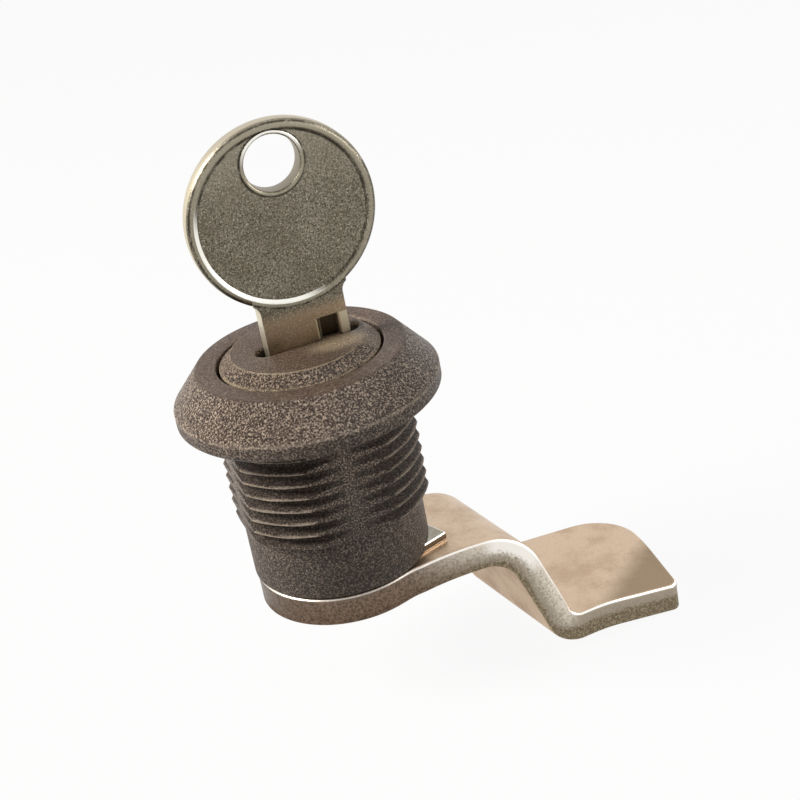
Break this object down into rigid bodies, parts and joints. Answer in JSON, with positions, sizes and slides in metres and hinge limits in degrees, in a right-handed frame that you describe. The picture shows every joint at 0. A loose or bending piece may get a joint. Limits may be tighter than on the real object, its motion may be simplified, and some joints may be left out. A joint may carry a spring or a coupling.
{
  "type": "key latch",
  "caption": "Panel-mounted key latch: flanged, threaded round housing with flats, a keyed plug that turns, and a joggled strike arm that hooks behind the frame.",
  "frame": {"origin": "on the lock's axis, at the underside of the flange, where the latch seats on its panel", "axes": "+Z along the lock's axis, out of the panel towards the key; +X along the strike arm at rest and across the key's blade"},
  "size_m": [0.051, 0.0288, 0.0677],
  "materials": {
    "moulded_black": "spark-eroded texture, satin",
    "plug_black": "fine satin",
    "seal_rubber": "matt",
    "key_nickel": "nickel plate, worn satin",
    "plated_steel": "zinc plate over rolled strip",
    "stop_steel": "bright stamped steel",
    "fastener_steel": "zinc plate",
    "wafer_brass": "stamped brass",
    "spring_steel": "drawn wire"
  },
  "bodies": {
    "housing": {"housing": "moulded_black"},
    "plug": {"plug": "plug_black", "plug_seal": "seal_rubber", "stop_washer": "stop_steel", "cam": "plated_steel", "lock_washer": "fastener_steel", "cam_screw": "fastener_steel", "wafer_spring_1": "spring_steel", "wafer_spring_2": "spring_steel", "wafer_spring_3": "spring_steel", "wafer_spring_4": "spring_steel", "wafer_spring_5": "spring_steel", "wafer_spring_6": "spring_steel"},
    "key": {"key": "key_nickel"},
    "wafer_1": {"wafer_1": "wafer_brass"},
    "wafer_2": {"wafer_2": "wafer_brass"},
    "wafer_3": {"wafer_3": "wafer_brass"},
    "wafer_4": {"wafer_4": "wafer_brass"},
    "wafer_5": {"wafer_5": "wafer_brass"},
    "wafer_6": {"wafer_6": "wafer_brass"}
  },
  "joints": [
    {"name": "plug_turn", "type": "hinge", "parent": "housing", "child": "plug", "pos_m": [0, 0, 0], "axis": [0, 0, 1], "range_deg": [0, 90]},
    {"name": "key_slide", "type": "slide", "parent": "plug", "child": "key", "axis": [0, 0, 1], "range_m": [0, 0.028]},
    {"name": "wafer_1_slide", "type": "slide", "parent": "plug", "child": "wafer_1", "axis": [1, 0, 0], "range_m": [0, 0.00081], "deforming": ["wafer_spring_1"]},
    {"name": "wafer_2_slide", "type": "slide", "parent": "plug", "child": "wafer_2", "axis": [-1, 0, 0], "range_m": [0, 0.00081], "deforming": ["wafer_spring_2"]},
    {"name": "wafer_3_slide", "type": "slide", "parent": "plug", "child": "wafer_3", "axis": [1, 0, 0], "range_m": [0, 0.00081], "deforming": ["wafer_spring_3"]},
    {"name": "wafer_4_slide", "type": "slide", "parent": "plug", "child": "wafer_4", "axis": [-1, 0, 0], "range_m": [0, 0.00081], "deforming": ["wafer_spring_4"]},
    {"name": "wafer_5_slide", "type": "slide", "parent": "plug", "child": "wafer_5", "axis": [1, 0, 0], "range_m": [0, 0.00081], "deforming": ["wafer_spring_5"]},
    {"name": "wafer_6_slide", "type": "slide", "parent": "plug", "child": "wafer_6", "axis": [-1, 0, 0], "range_m": [0, 0.00081], "deforming": ["wafer_spring_6"]}
  ],
  "couplings": [
    {"joint": "wafer_1_slide", "follows": "key_slide", "ratio": 0.028571},
    {"joint": "wafer_2_slide", "follows": "key_slide", "ratio": 0.028571},
    {"joint": "wafer_3_slide", "follows": "key_slide", "ratio": 0.028571},
    {"joint": "wafer_4_slide", "follows": "key_slide", "ratio": 0.028571},
    {"joint": "wafer_5_slide", "follows": "key_slide", "ratio": 0.028571},
    {"joint": "wafer_6_slide", "follows": "key_slide", "ratio": 0.028571}
  ]
}
